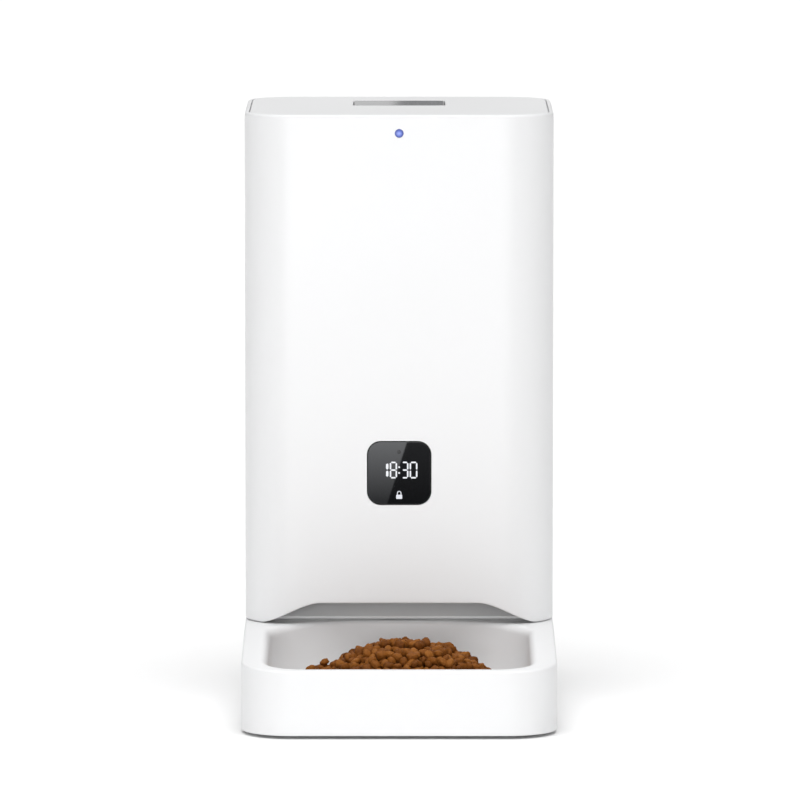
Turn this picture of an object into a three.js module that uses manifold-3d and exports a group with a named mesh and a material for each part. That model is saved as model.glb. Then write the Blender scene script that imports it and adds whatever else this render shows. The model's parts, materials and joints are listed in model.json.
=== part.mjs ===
// Automatic pet feeder, in millimetres, +Z up. The origin is on the floor under the middle of the
// object, and the feeder faces -Y. The housing stands at the back, and the bowl tray is in front.
import * as THREE from "three";
import { LoftGeometry } from "three/addons/geometries/LoftGeometry.js";
import { mergeVertices } from "three/addons/utils/BufferGeometryUtils.js";
import Module from "manifold-3d";

// ---------------------------------------------------------------- driving dimensions
const WIDTH = 190; // of housing, base and tray
const DEPTH = 300; // of base and tray together
const BODY_DEPTH = 160; // of the tall housing
const CORNER_R = 30; // vertical corners, in plan
const BASE_Z = 2; // underside of the base, held up by the feet
const SEAM_Z = 50; // where the housing meets the base
const RIM_Z = 41; // the tray's rim at the front
const TOP_Z = 364; // top of the housing and lid
const WALL = 2.6; // of the housing
const SKIRT = 3; // wall of base and tray
const GAP = 0.4; // between neighbours

const BACK_Y = DEPTH / 2;
const FRONT_Y = BACK_Y - BODY_DEPTH; // front face of the housing
const BODY_Y = (BACK_Y + FRONT_Y) / 2;
const SPLIT_Y = 12; // the tray ends here, under the arch

const ARCH_TOP_Z = 63;
const ARCH_FLAT = 50; // half width of the arch's level part
const ARCH_FOOT = 84; // half width of the arch at the seam
const ARCH_BEND_TOP = 66; // half widths that steer the curve between them
const ARCH_BEND_FOOT = 74;

const DISPLAY = 39; // square window
const DISPLAY_R = 8.2;
const DISPLAY_Z = 143.7;
const LIGHT_Z = 352.7;
const LIGHT_R = 2.5;
const LIGHT_LENGTH = 6.4;
const BOARD_T = 1.6;

const HOPPER_Y = 74.5; // centre of the food bin
const HOPPER_W = 176;
const HOPPER_D = 143;
const HOPPER_R = 24;
const HOPPER_WALL = 2.2;
const HOPPER_TOP_Z = TOP_Z - 5.5;
const FLANGE_T = 2;
const FUNNEL_Z = 170; // the bin narrows below this
const NECK_Z = 124; // and is round below this
const NECK_END_Z = 118;
const NECK_R = 52;

const LID_T = 5;
const PLUG_W = 164; // the collar under the lid
const PLUG_D = 131;
const PLUG_R = 18;
const PLUG_END_Z = 348;
const PLUG_WALL = 2;
const SEAL_Z = 351;
const SEAL_T = 3;
const BUTTON_W = 56;
const BUTTON_D = 42;
const BUTTON_R = 3;
const BUTTON_Y = 92;
const BUTTON_WALL = 2.5;
const BUTTON_END_Z = 350; // its top is flush with the lid when it is latched down
const WELL_FLOOR_Z = 341;
const WELL_GAP = 0.6; // round the button
const WELL_WALL = 2.4;
const SPRING_R = 8;
const SPRING_TURNS = 5;
const WIRE_R = 0.7;
const DESICCANT_Y = 34;
const DESICCANT_Z = 347;
const DESICCANT_W = 72;
const DESICCANT_D = 29;

const ROTOR_Y = 75;
const DRUM_R = 56;
const DRUM_Z = 88;
const DRUM_FLOOR = 2.5;
const DRUM_WALL = 3;
const OUTLET_HALF = 22; // the drum floor's opening, in front of the shaft
const OUTLET_Y = [-50, -28];
const BAFFLE_Z = 113.2;
const BAFFLE_ANGLE = 0.8; // radians to each side of the outlet
const BAFFLE_T = 2;
const VANE_R = 52;
const VANE_COUNT = 6;
const VANE_T = 2.2;
const VANE_Z = [91, 112.5];
const HUB_R = 10;
const ARM_COUNT = 3;
const ARM_R = 40;
const SHAFT_R = 4;
const BORE_R = SHAFT_R + 0.3;
const GEAR_Z = 78;
const GEAR_T = 8;
const GEAR_MODULE = 1;
const GEAR_TEETH = 36;
const PINION_TEETH = 14;
const BACKLASH = 0.3;
const PRESSURE_ANGLE = THREE.MathUtils.degToRad(20);
const MOTOR_R = 18.5;
const MOTOR_BOSS_R = 6;
const MOTOR_SHAFT_R = 2.5;
const MOTOR_SCREW_X = 13.5;
const MOTOR_Y = ROTOR_Y + (GEAR_MODULE * (GEAR_TEETH + PINION_TEETH)) / 2 + 0.2;
const BRACKET_Z = 74;
const BRACKET_T = 2.4;
const BRACKET_HALF = 24;
const BRACKET_Y = [66, 126];

const CHUTE_HALF = 82;
const CHUTE_BACK_Y = 52;
const CHUTE_T = 2;
const RAMP_TOP_Z = 78.5;
const CHUTE_TOP_Z = DRUM_Z - 0.6;
const SHIELD_Z = 64; // ceiling of the outlet behind the arch
const SHIELD_T = 1.8;
const SENSOR_Y = 36;
const SENSOR_Z = 71;

const BOWL_HALF = 79; // the bowl's opening
const BOWL_FRONT_Y = -141;
const BOWL_BACK_Y = 8;
const BOWL_SIDE_Y = -30; // where the bowl's sides start to close in
const BOWL_CORNER = 24;
const BOWL_BEND = 16; // how far back the sides run on into the curve
const BOWL_BACK_HALF = 45;
const BOWL_FLOOR_Z = 12;
const BOWL_WALL = 3;

const PLATE_T = 4; // base plate
const TRAY_PLATE_T = 2.5;
const FOOT_R = 8;
const FOOT_POCKET = 1.5; // depth in the plate above
const BOSS_R = 4.5;
const SCREW_BORE_R = 1.8;
const SCREW_HEAD_R = 3.4;
const SCREW_BORE_Z = 22;
const BAY_HALF = 56; // of the battery bay
const BAY_Y = [52, 124.5];
const BAY_WALL = 2.5;
const TONGUE_X = 60;
const TONGUE_HALF = 10;
const TONGUE_Z = [20, 24];
const CABLE_HOLE = [-45, 132];
const CELL_R = 16.3; // D cell
const CELL_L = 59;
const CELL_PITCH = 36;
const CELL_Z = 27;
const CELL_Y = 59;
const CELL_NIB = 1.6; // the raised contact at one end
const CELL_NIB_R = 4.5;
const DOOR_TRAVEL = 10;
const DOOR_HALF = 57;
const DOOR_Y = [53.4, 127];
const DOOR_T = 1.9;
const INLET_X = 60;
const INLET_Z = 25;
const INLET_R = 5.5;

// ---------------------------------------------------------------- materials
const finish = (color, roughness, metalness = 0, extra = {}) =>
  new THREE.MeshStandardMaterial({ color, roughness, metalness, ...extra });
const WHITE = finish(0xf6f6f7, 0.35);
const INNER = finish(0xe6e7e6, 0.5);
const SMOKE = finish(0x15171b, 0.08);
const GREY_GLOSS = finish(0x8c8e91, 0.2);
const RUBBER = finish(0x3a3b3d, 0.85);
const SILICONE = finish(0xc9cccd, 0.7);
const STEEL = finish(0xb9bcc0, 0.3, 1);
const BOARD = finish(0x1f5a38, 0.5);
const ACETAL = finish(0xd9dde0, 0.45);
const CELL = finish(0x4d5258, 0.35, 0.6);
const BLUE_LIGHT = finish(0x3a4fe0, 0.2, 0, { emissive: 0x2a3cff });
const BLACK = finish(0x1b1c1e, 0.5);

// ---------------------------------------------------------------- solids
const wasm = await Module();
wasm.setup();

function solid(geometry) {
  geometry.deleteAttribute("normal");
  geometry.deleteAttribute("uv");
  const merged = mergeVertices(geometry, 1e-4);
  return new wasm.Manifold(
    new wasm.Mesh({
      numProp: 3,
      vertProperties: merged.getAttribute("position").array,
      triVerts: new Uint32Array(merged.index.array),
    }),
  );
}

function geometryOf(shape) {
  const mesh = shape.getMesh();
  const geometry = new THREE.BufferGeometry();
  geometry.setAttribute("position", new THREE.BufferAttribute(mesh.vertProperties, 3));
  geometry.setIndex(new THREE.BufferAttribute(mesh.triVerts, 1));
  geometry.computeVertexNormals();
  return geometry;
}

const join = (first, ...rest) => rest.reduce((all, one) => all.add(one), first);
const cut = (first, ...rest) => rest.reduce((all, one) => all.subtract(one), first);

// A box between two corners, then turned about Z by some degrees.
function box([x0, y0, z0], [x1, y1, z1], turn = 0) {
  const geometry = new THREE.BoxGeometry(x1 - x0, y1 - y0, z1 - z0);
  geometry.translate((x0 + x1) / 2, (y0 + y1) / 2, (z0 + z1) / 2);
  return solid(geometry.rotateZ(THREE.MathUtils.degToRad(turn)));
}

// An upright cylinder at x, y.
function rod(radius, z0, z1, [x, y] = [0, 0], sides = 20) {
  const geometry = new THREE.CylinderGeometry(radius, radius, z1 - z0, sides);
  return solid(geometry.rotateX(Math.PI / 2).translate(x, y, (z0 + z1) / 2));
}

// A cylinder that points along Y.
function rodAlongY(radius, y0, y1, [x, z] = [0, 0], sides = 14) {
  const geometry = new THREE.CylinderGeometry(radius, radius, y1 - y0, sides);
  return solid(geometry.translate(x, (y0 + y1) / 2, z));
}

const extruded = (shape, depth, segments) =>
  new THREE.ExtrudeGeometry(shape, { depth, bevelEnabled: false, curveSegments: segments });

// An outline in X and Y, from z0 up to z1.
const upright = (shape, z0, z1, segments = 4) =>
  solid(extruded(shape, z1 - z0, segments).translate(0, 0, z0));

// An outline in X and Z, from y0 back to y1.
const facing = (shape, y0, y1, segments = 4) =>
  solid(extruded(shape, y1 - y0, segments).rotateX(Math.PI / 2).translate(0, y1, 0));

// An outline in Y and Z, from x0 across to x1.
function sideways(shape, x0, x1) {
  const turn = new THREE.Matrix4().makeBasis(
    new THREE.Vector3(0, 1, 0),
    new THREE.Vector3(0, 0, 1),
    new THREE.Vector3(1, 0, 0),
  );
  return solid(extruded(shape, x1 - x0, 8).applyMatrix4(turn).translate(x0, 0, 0));
}

const polygon = (points) => new THREE.Shape(points.map(([a, b]) => new THREE.Vector2(a, b)));

function roundedRect(width, depth, radius, [cx, cy] = [0, 0]) {
  const x = width / 2 - radius;
  const y = depth / 2 - radius;
  const shape = new THREE.Shape();
  shape.absarc(cx + x, cy - y, radius, -Math.PI / 2, 0);
  shape.absarc(cx + x, cy + y, radius, 0, Math.PI / 2);
  shape.absarc(cx - x, cy + y, radius, Math.PI / 2, Math.PI);
  shape.absarc(cx - x, cy - y, radius, Math.PI, Math.PI * 1.5);
  shape.closePath();
  return shape;
}

// Outline of the housing, moved in by the inset.
const bodyOutline = (inset) =>
  roundedRect(WIDTH - 2 * inset, BODY_DEPTH - 2 * inset, CORNER_R - inset, [0, BODY_Y]);

// Outline of base and tray together, moved in by the inset.
const baseOutline = (inset) =>
  roundedRect(WIDTH - 2 * inset, DEPTH - 2 * inset, CORNER_R - inset);

const ahead = (y) => box([-WIDTH, -DEPTH, -10], [WIDTH, y, TOP_Z]);
const behind = (y) => box([-WIDTH, y, -10], [WIDTH, DEPTH, TOP_Z]);

// ---------------------------------------------------------------- scene graph
const feeder = new THREE.Group();

function group(position = [0, 0, 0], parent = feeder) {
  const made = new THREE.Group();
  made.position.set(...position);
  parent.add(made);
  return made;
}

function piece(parent, name, shape, material, position = [0, 0, 0]) {
  const mesh = new THREE.Mesh(geometryOf(shape), material);
  mesh.name = name;
  mesh.position.set(...position);
  parent.add(mesh);
  return mesh;
}

// ---------------------------------------------------------------- housing
function archCut() {
  const arch = new THREE.Shape();
  arch.moveTo(-ARCH_FOOT, SEAM_Z - 1);
  arch.bezierCurveTo(-ARCH_BEND_FOOT, SEAM_Z + 4, -ARCH_BEND_TOP, ARCH_TOP_Z, -ARCH_FLAT, ARCH_TOP_Z);
  arch.lineTo(ARCH_FLAT, ARCH_TOP_Z);
  arch.bezierCurveTo(ARCH_BEND_TOP, ARCH_TOP_Z, ARCH_BEND_FOOT, SEAM_Z + 4, ARCH_FOOT, SEAM_Z - 1);
  arch.closePath();
  return facing(arch, FRONT_Y - 5, FRONT_Y + 15, 7);
}

function outerShell() {
  const window = roundedRect(DISPLAY + 2 * GAP, DISPLAY + 2 * GAP, DISPLAY_R + GAP, [0, DISPLAY_Z]);
  return cut(
    upright(bodyOutline(0), SEAM_Z + GAP, TOP_Z, 7),
    upright(bodyOutline(WALL), SEAM_Z - 1, TOP_Z + 1, 7),
    archCut(),
    facing(window, FRONT_Y - 1, FRONT_Y + 5, 4),
    rodAlongY(LIGHT_R + 0.3, FRONT_Y - 1, FRONT_Y + 5, [0, LIGHT_Z]),
  );
}

function displayBoard() {
  const boardY = FRONT_Y + 8;
  return join(
    box([-23, boardY, DISPLAY_Z - 23], [23, boardY + BOARD_T, DISPLAY_Z + 23]),
    box([-17, FRONT_Y + 2.6, DISPLAY_Z - 15], [17, boardY + 0.1, DISPLAY_Z + 13]),
  );
}

function statusLight() {
  return join(
    rodAlongY(LIGHT_R, FRONT_Y, FRONT_Y + LIGHT_LENGTH, [0, LIGHT_Z]),
    rodAlongY(LIGHT_R + 1, FRONT_Y + WALL + 0.3, FRONT_Y + WALL + 1.8, [0, LIGHT_Z]),
  );
}

function mainBoard() {
  const y = FRONT_Y + 6;
  const parts = [box([-40, y, 70], [40, y + BOARD_T, 116])];
  // Middle in X and Z, width, height and how far each stands off the board.
  const chips = [
    [-20, 96, 14, 14, 2],
    [12, 90, 18, 8, 3],
    [26, 104, 10, 10, 8],
    [-28, 78, 12, 9, 6],
    [4, 76, 22, 6, 7],
  ];
  for (const [x, z, width, height, deep] of chips)
    parts.push(
      box([x - width / 2, y + 1, z - height / 2], [x + width / 2, y + BOARD_T + deep, z + height / 2]),
    );
  return join(...parts);
}

const housing = group();
piece(housing, "outer_shell", outerShell(), WHITE);
piece(
  housing,
  "display_lens",
  facing(roundedRect(DISPLAY, DISPLAY, DISPLAY_R), -1.1, 1.1, 4),
  SMOKE,
  [0, FRONT_Y + 1.2, DISPLAY_Z],
);
piece(housing, "display_board", displayBoard(), BOARD);
piece(housing, "status_light", statusLight(), BLUE_LIGHT);
piece(housing, "led_board", box([-10, -0.6, -5], [10, 0.6, 5]), BOARD, [0, FRONT_Y + 7.4, LIGHT_Z - 2]);
piece(housing, "main_board", mainBoard(), BOARD);
piece(
  housing,
  "speaker",
  join(rod(14, 0, 3), rod(18, 3, 5.5), rod(11, -4, 0.1)),
  BLACK,
  [62, 118, SEAM_Z + 4.6],
);

// ---------------------------------------------------------------- food bin
function ring(z, width, depth, radius, y) {
  const points = roundedRect(width, depth, radius, [0, y]).getPoints(4);
  points.pop(); // the outline's last point repeats its first
  return points.map((p) => new THREE.Vector3(p.x, p.y, z));
}

const loft = (rings) =>
  solid(new THREE.BufferGeometry().copy(new LoftGeometry(rings, { capStart: true, capEnd: true })));

// The bin's outer or inner surface: a straight box, a funnel and a round neck.
function hopperForm(inset, low, high) {
  const neck = 2 * (NECK_R - inset);
  const width = HOPPER_W - 2 * inset;
  const depth = HOPPER_D - 2 * inset;
  return loft([
    ring(low, neck, neck, NECK_R - inset - 0.01, ROTOR_Y),
    ring(NECK_Z, neck, neck, NECK_R - inset - 0.01, ROTOR_Y),
    ring(FUNNEL_Z, width, depth, HOPPER_R - inset, HOPPER_Y),
    ring(high, width, depth, HOPPER_R - inset, HOPPER_Y),
  ]);
}

function hopper() {
  const flange = upright(bodyOutline(WALL + GAP), HOPPER_TOP_Z - FLANGE_T, HOPPER_TOP_Z);
  return cut(
    join(hopperForm(0, NECK_END_Z, HOPPER_TOP_Z), flange),
    hopperForm(HOPPER_WALL, NECK_END_Z - 1, HOPPER_TOP_Z + 1),
  );
}

piece(housing, "hopper", hopper(), INNER);

// ---------------------------------------------------------------- portion drum and chute
function rotorHousing() {
  return cut(
    rod(DRUM_R, DRUM_Z, NECK_END_Z - GAP, [0, 0], 32),
    rod(DRUM_R - DRUM_WALL, DRUM_Z + DRUM_FLOOR, NECK_END_Z, [0, 0], 32),
    rod(BORE_R, DRUM_Z - 1, DRUM_Z + 5),
    box([-OUTLET_HALF, OUTLET_Y[0], DRUM_Z - 1], [OUTLET_HALF, OUTLET_Y[1], DRUM_Z + 5]),
  );
}

// A sector that stops food from falling straight through the outlet.
function portionBaffle() {
  const sector = new THREE.Shape();
  const from = -Math.PI / 2 - BAFFLE_ANGLE;
  const to = -Math.PI / 2 + BAFFLE_ANGLE;
  sector.absarc(0, 0, VANE_R + 0.6, from, to);
  sector.absarc(0, 0, HUB_R + 3, to, from, true);
  sector.closePath();
  return upright(sector, 0, BAFFLE_T, 10);
}

function chute() {
  const ramp = [
    [SPLIT_Y + GAP, SEAM_Z + GAP],
    [SPLIT_Y + 3.5, SEAM_Z + GAP],
    [CHUTE_BACK_Y, RAMP_TOP_Z],
    [CHUTE_BACK_Y, CHUTE_TOP_Z],
    [CHUTE_BACK_Y - CHUTE_T, CHUTE_TOP_Z],
    [CHUTE_BACK_Y - CHUTE_T, RAMP_TOP_Z + 1.9],
    [SPLIT_Y + GAP, SEAM_Z + 2],
  ];
  const cheek = [...ramp.slice(0, 4), [SPLIT_Y + GAP, CHUTE_TOP_Z]];
  return join(
    sideways(polygon(ramp), -CHUTE_HALF, CHUTE_HALF),
    sideways(polygon(cheek), -CHUTE_HALF, CHUTE_T - CHUTE_HALF),
    sideways(polygon(cheek), CHUTE_HALF - CHUTE_T, CHUTE_HALF),
  );
}

// The wall over the outlet, and its ceiling behind the housing's front.
function outletShield() {
  const bend = polygon([
    [FRONT_Y, SHIELD_Z],
    [SPLIT_Y, SHIELD_Z],
    [SPLIT_Y, CHUTE_TOP_Z],
    [SPLIT_Y - SHIELD_T, CHUTE_TOP_Z],
    [SPLIT_Y - SHIELD_T, SHIELD_Z + 2],
    [FRONT_Y, SHIELD_Z + 2],
  ]);
  return sideways(bend, -CHUTE_HALF, CHUTE_HALF).intersect(
    upright(bodyOutline(WALL + GAP), SEAM_Z, TOP_Z),
  );
}

const drum = group([0, ROTOR_Y, 0]);
piece(drum, "rotor_housing", rotorHousing(), INNER);
piece(drum, "portion_baffle", portionBaffle(), ACETAL, [0, 0, BAFFLE_Z]);
piece(housing, "chute", chute(), WHITE);
piece(housing, "outlet_shield", outletShield(), INNER);
for (const [name, side] of [["sensor_emitter", -1], ["sensor_receiver", 1]])
  piece(
    housing,
    name,
    box([-2.8, -6, -5], [2.8, 6, 5]),
    BLACK,
    [side * (CHUTE_HALF + 3.2), SENSOR_Y, SENSOR_Z],
  );

// ---------------------------------------------------------------- drive
function gearOutline(teeth) {
  const pitch = (GEAR_MODULE * teeth) / 2;
  const base = pitch * Math.cos(PRESSURE_ANGLE);
  const tip = pitch + 0.9 * GEAR_MODULE;
  const root = pitch - 1.25 * GEAR_MODULE;
  const involute = (radius) => {
    const angle = Math.acos(Math.min(1, base / radius));
    return Math.tan(angle) - angle;
  };
  const half = Math.PI / (2 * teeth) - BACKLASH / (2 * pitch) + involute(pitch);
  const flank = [[root, half]];
  for (let i = 0; i <= 2; i++) {
    const radius = base + ((tip - base) * i) / 2;
    flank.push([radius, half - involute(radius)]);
  }
  const points = [];
  for (let tooth = 0; tooth < teeth; tooth++) {
    const middle = (tooth * 2 * Math.PI) / teeth;
    for (const [radius, angle] of flank)
      points.push([radius * Math.cos(middle - angle), radius * Math.sin(middle - angle)]);
    for (const [radius, angle] of flank.toReversed())
      points.push([radius * Math.cos(middle + angle), radius * Math.sin(middle + angle)]);
  }
  return polygon(points);
}

function impeller() {
  const vanes = Array.from({ length: VANE_COUNT }, (_, i) =>
    box([6, -VANE_T / 2, VANE_Z[0]], [VANE_R, VANE_T / 2, VANE_Z[1]], (360 / VANE_COUNT) * (i + 0.5)),
  );
  return cut(join(rod(HUB_R, VANE_Z[0], 112.8), ...vanes), rod(BORE_R, 80, 120));
}

function stirrer() {
  const arms = Array.from({ length: ARM_COUNT }, (_, i) =>
    box([5, -2.5, 121], [ARM_R, 2.5, 125], (360 / ARM_COUNT) * i),
  );
  return cut(join(rod(8, BAFFLE_Z, 127), ...arms), rod(BORE_R, 110, 124.4));
}

function drivenGear() {
  const holes = [0, 1, 2, 3].map((i) => {
    const angle = (i * Math.PI) / 2 + Math.PI / 4;
    return rod(3, -1, GEAR_T + 1, [11.5 * Math.cos(angle), 11.5 * Math.sin(angle)], 10);
  });
  return cut(
    upright(gearOutline(GEAR_TEETH), 0, GEAR_T),
    rod(BORE_R, -1, GEAR_T + 1),
    ...holes,
  );
}

function gearMotor() {
  return join(
    rod(MOTOR_R, SEAM_Z + 1, BRACKET_Z - 0.3, [0, 0], 24),
    rod(MOTOR_BOSS_R, BRACKET_Z - 0.4, BRACKET_Z + 2),
    rod(MOTOR_SHAFT_R, BRACKET_Z, GEAR_Z + GEAR_T + 0.5),
  );
}

function motorBracket() {
  const plate = box(
    [-BRACKET_HALF, BRACKET_Y[0], BRACKET_Z],
    [BRACKET_HALF, BRACKET_Y[1], BRACKET_Z + BRACKET_T],
  );
  const leg = (x) => box([x - 1, 82, SEAM_Z + GAP], [x + 1, 122, BRACKET_Z + 1]);
  const holes = [-1, 1].map((side) => rod(1.9, 70, 80, [side * MOTOR_SCREW_X, MOTOR_Y], 16));
  return cut(
    join(plate, leg(1 - BRACKET_HALF), leg(BRACKET_HALF - 1)),
    rod(BORE_R, 70, 80, [0, ROTOR_Y]),
    rod(MOTOR_BOSS_R + GAP, 70, 80, [0, MOTOR_Y]),
    ...holes,
  );
}

// A small screw, head down at the origin, with its shank along +Z.
const screw = (length, radius) =>
  join(rod(2 * radius, 0, 1.7, [0, 0], 12), rod(radius, 1, length, [0, 0], 8));

piece(drum, "impeller", impeller(), ACETAL);
piece(drum, "stirrer", stirrer(), ACETAL);
piece(drum, "drive_shaft", rod(SHAFT_R, 70, 124, [0, 0], 16), STEEL);
piece(drum, "drive_gear", drivenGear(), ACETAL, [0, 0, GEAR_Z]);

const drive = group([0, MOTOR_Y, 0]);
piece(drive, "gear_motor", gearMotor(), STEEL);
// With these tooth counts a gap of the pinion faces the tooth that the driven gear has towards it.
piece(
  drive,
  "motor_pinion",
  cut(upright(gearOutline(PINION_TEETH), 0, GEAR_T), rod(MOTOR_SHAFT_R + 0.3, -1, GEAR_T + 1, [0, 0], 12)),
  ACETAL,
  [0, 0, GEAR_Z],
);
piece(housing, "motor_bracket", motorBracket(), STEEL);
[-1, 1].forEach((side, i) => {
  const bolt = piece(drive, `motor_screw_${i + 1}`, screw(3.8, 1.4), STEEL);
  bolt.rotation.x = Math.PI; // driven from above
  bolt.position.set(side * MOTOR_SCREW_X, 0, BRACKET_Z + BRACKET_T + 2);
});

// ---------------------------------------------------------------- lid
function lidShell() {
  const [innerW, innerD] = [PLUG_W - 2 * PLUG_WALL, PLUG_D - 2 * PLUG_WALL];
  const collarInside = roundedRect(innerW, innerD, PLUG_R - PLUG_WALL, [0, HOPPER_Y]);
  const plug = cut(
    upright(roundedRect(PLUG_W, PLUG_D, PLUG_R, [0, HOPPER_Y]), PLUG_END_Z, TOP_Z - LID_T + 1),
    upright(collarInside, PLUG_END_Z - 1, TOP_Z - LID_T),
  );
  const wellOutline = (grow) =>
    roundedRect(BUTTON_W + grow, BUTTON_D + grow, BUTTON_R + grow / 2, [0, BUTTON_Y]);
  return cut(
    join(
      upright(bodyOutline(WALL + GAP), TOP_Z - LID_T, TOP_Z, 7),
      plug,
      upright(wellOutline(2 * (WELL_GAP + WELL_WALL)), WELL_FLOOR_Z, TOP_Z - LID_T + 1, 3),
    ),
    upright(wellOutline(2 * WELL_GAP), WELL_FLOOR_Z + 2, TOP_Z + 1, 3),
  );
}

function lidSeal() {
  const outline = (grow) => roundedRect(PLUG_W + grow, PLUG_D + grow, PLUG_R + grow / 2, [0, HOPPER_Y]);
  return cut(
    upright(outline(6.8), SEAL_Z, SEAL_Z + SEAL_T),
    upright(outline(0.6), SEAL_Z - 1, SEAL_Z + SEAL_T + 1),
  );
}

function buttonCap() {
  const hollow = roundedRect(BUTTON_W - 2 * BUTTON_WALL, BUTTON_D - 2 * BUTTON_WALL, BUTTON_R - 2);
  return cut(
    upright(roundedRect(BUTTON_W, BUTTON_D, BUTTON_R), BUTTON_END_Z, TOP_Z, 4),
    upright(hollow, BUTTON_END_Z - 1, TOP_Z - 2, 4),
  );
}

class Helix extends THREE.Curve {
  constructor(radius, turns, low, high) {
    super();
    Object.assign(this, { radius, turns, low, high });
  }
  getPoint(t, target = new THREE.Vector3()) {
    const angle = t * this.turns * 2 * Math.PI;
    const z = this.low + (this.high - this.low) * t;
    return target.set(this.radius * Math.cos(angle), this.radius * Math.sin(angle), z);
  }
}

function buttonSpring() {
  const wire = new THREE.Shape().absarc(0, 0, WIRE_R, 0, 2 * Math.PI);
  const path = new Helix(SPRING_R, SPRING_TURNS, WELL_FLOOR_Z + 3.2, TOP_Z - 3.2);
  return solid(
    new THREE.ExtrudeGeometry(wire, { steps: 10 * SPRING_TURNS, curveSegments: 2, extrudePath: path }),
  );
}

function desiccantBox() {
  const [x, y, wall] = [DESICCANT_W / 2, DESICCANT_D / 2, 1.6];
  return cut(box([-x, -y, 0], [x, y, 11.6]), box([wall - x, wall - y, -1], [x - wall, y - wall, 10]));
}

function desiccantCover() {
  const [x, y] = [DESICCANT_W / 2, DESICCANT_D / 2];
  const slots = [-2, -1, 0, 1, 2].map((i) => box([i * 12 - 3, -9, -1], [i * 12 + 3, 9, 3]));
  return cut(box([-x, -y, 0], [x, y, 2]), ...slots);
}

const lid = group();
piece(lid, "lid", lidShell(), WHITE);
piece(lid, "lid_seal", lidSeal(), SILICONE);
piece(lid, "desiccant_box", desiccantBox(), INNER, [0, DESICCANT_Y, DESICCANT_Z]);
piece(lid, "desiccant_cover", desiccantCover(), INNER, [0, DESICCANT_Y, DESICCANT_Z - 2.4]);
const button = group([0, BUTTON_Y, 0], lid);
piece(button, "lid_button", buttonCap(), GREY_GLOSS);
piece(button, "button_spring", buttonSpring(), STEEL);

// ---------------------------------------------------------------- base
const SCREW_SPOTS = [[-78, 42], [78, 42], [-78, 108], [78, 108]];
const FOOT_SPOTS = [[-66, 27], [66, 27], [-70, 130], [70, 130]];

// The foot sits in a pocket in the plate above it.
const foot = () => rod(FOOT_R, 0, BASE_Z + 1.2, [0, 0], 16);
const footPocket = (spot) => rod(FOOT_R + 0.5, BASE_Z - 1, BASE_Z + FOOT_POCKET, spot, 16);

function rearBase() {
  const low = BASE_Z + PLATE_T + GAP;
  const bayWall = (y) => box([-BAY_HALF, y, low], [BAY_HALF, y + BAY_WALL, SEAM_Z - 2]);
  const bosses = SCREW_SPOTS.map((spot) => rod(BOSS_R, low, SEAM_Z - 2, spot, 12));
  const bores = SCREW_SPOTS.map((spot) => rod(SCREW_BORE_R, 0, SCREW_BORE_Z, spot, 10));
  const tongueSlot = (side) => {
    const [from, to] = [side * TONGUE_X - TONGUE_HALF - 0.6, side * TONGUE_X + TONGUE_HALF + 0.6];
    return box([from, SPLIT_Y, TONGUE_Z[0] - 0.6], [to, SPLIT_Y + 4, TONGUE_Z[1] + 0.6]);
  };
  const skin = cut(
    upright(baseOutline(0), BASE_Z, SEAM_Z, 7),
    ahead(SPLIT_Y + GAP),
    cut(upright(baseOutline(SKIRT), BASE_Z - 1, SEAM_Z - SKIRT, 6), ahead(SPLIT_Y + GAP + SKIRT)),
    tongueSlot(-1),
    tongueSlot(1),
    rod(6, SEAM_Z - 5, SEAM_Z + 1, CABLE_HOLE),
    rodAlongY(INLET_R, BACK_Y - 5, BACK_Y + 1, [INLET_X, INLET_Z]),
  );
  return cut(join(skin, ...BAY_Y.map(bayWall), ...bosses), ...bores);
}

function basePlate() {
  const mouth = box([-54, 56, 0], [54, 122, 10]);
  const recess = box(
    [-DOOR_HALF - 0.5, DOOR_Y[0] - GAP, 0],
    [DOOR_HALF + 0.5, DOOR_Y[1] + GAP + DOOR_TRAVEL, BASE_Z + 2.2],
  );
  const counterbores = SCREW_SPOTS.flatMap((spot) => [
    rod(SCREW_BORE_R, 0, 10, spot, 10),
    rod(SCREW_HEAD_R, 0, BASE_Z + 2.2, spot, 12),
  ]);
  return cut(
    upright(baseOutline(SKIRT + GAP), BASE_Z, BASE_Z + PLATE_T),
    ahead(SPLIT_Y + 2 * GAP + SKIRT),
    mouth,
    recess,
    ...counterbores,
    ...FOOT_SPOTS.map(footPocket),
  );
}

function batteryCell() {
  const nib = rodAlongY(CELL_NIB_R, CELL_L - 0.1, CELL_L + CELL_NIB, [0, 0], 10);
  return join(rodAlongY(CELL_R, 0, CELL_L, [0, 0], 20), nib);
}

// A strip with a raised pad for each cell, on its side towards the cells.
function contactStrip(depth) {
  const [from, to] = [Math.min(0, depth), Math.max(0, depth)];
  const pads = [-1, 0, 1].map((i) => rodAlongY(5, from, to, [i * CELL_PITCH, 0], 10));
  return join(box([-46, -0.4, -8], [46, 0.4, 8]), ...pads);
}

function batteryDoor() {
  const grip = [22, 26, 30].map((y) => box([-12, y - 0.8, -1], [12, y + 0.8, 0.5]));
  const half = (DOOR_Y[1] - DOOR_Y[0]) / 2;
  return cut(box([-DOOR_HALF, -half, 0], [DOOR_HALF, half, DOOR_T]), ...grip);
}

function powerInlet() {
  const body = box([-7, -13, -7], [7, 0, 7]);
  return join(cut(body, rodAlongY(3.2, -10, 1)), rodAlongY(1, -11, -1, [0, 0], 12));
}

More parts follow.
